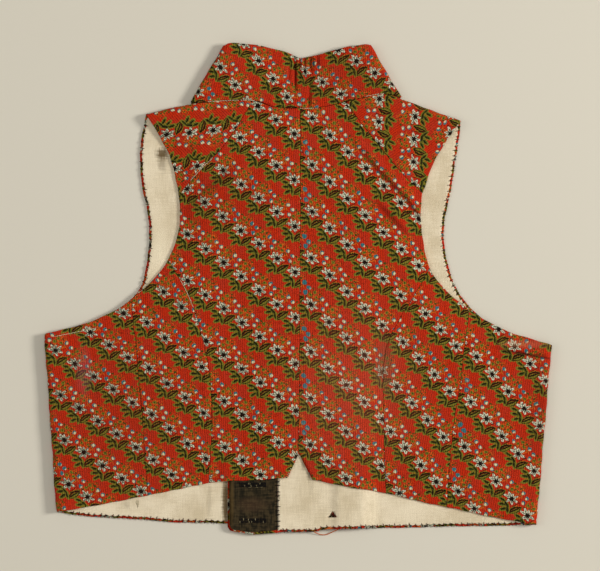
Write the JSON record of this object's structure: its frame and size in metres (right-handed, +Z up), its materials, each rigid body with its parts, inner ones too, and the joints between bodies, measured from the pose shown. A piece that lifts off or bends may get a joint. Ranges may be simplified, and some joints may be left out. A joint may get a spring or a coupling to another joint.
{
  "type": "waistcoat laid flat",
  "caption": "Double-breasted stand-collared waistcoat in red sprigged print with linen lining, laid flat on its fronts with the back upwards",
  "frame": {"origin": "middle of the footprint, on the surface that the waistcoat lies on", "axes": "+X towards the wearer's right side, +Y towards the collar, +Z up out of the surface, on the outer face of the back"},
  "size_m": [0.4827, 0.4667, 0.0096],
  "materials": {
    "print": "ribbed red cloth printed all over with sprigs of leaves, berries and a pale star flower, slightly faded",
    "linen": "plain undyed linen, matt, a little yellowed",
    "facing": "dark brown worn cloth, matt",
    "button": "flat dull metal"
  },
  "bodies": {
    "root": {"back_left": "print", "back_right": "print", "side_back_left": "print", "side_back_right": "print", "front_left": "print", "front_right": "print", "collar": "print", "lining_front_left": "linen", "lining_front_right": "linen", "facing_right": "facing", "button_1": "button", "button_2": "button", "button_3": "button", "button_4": "button", "button_5": "button", "button_6": "button", "button_7": "button", "button_8": "button", "button_9": "button"}
  },
  "joints": []
}
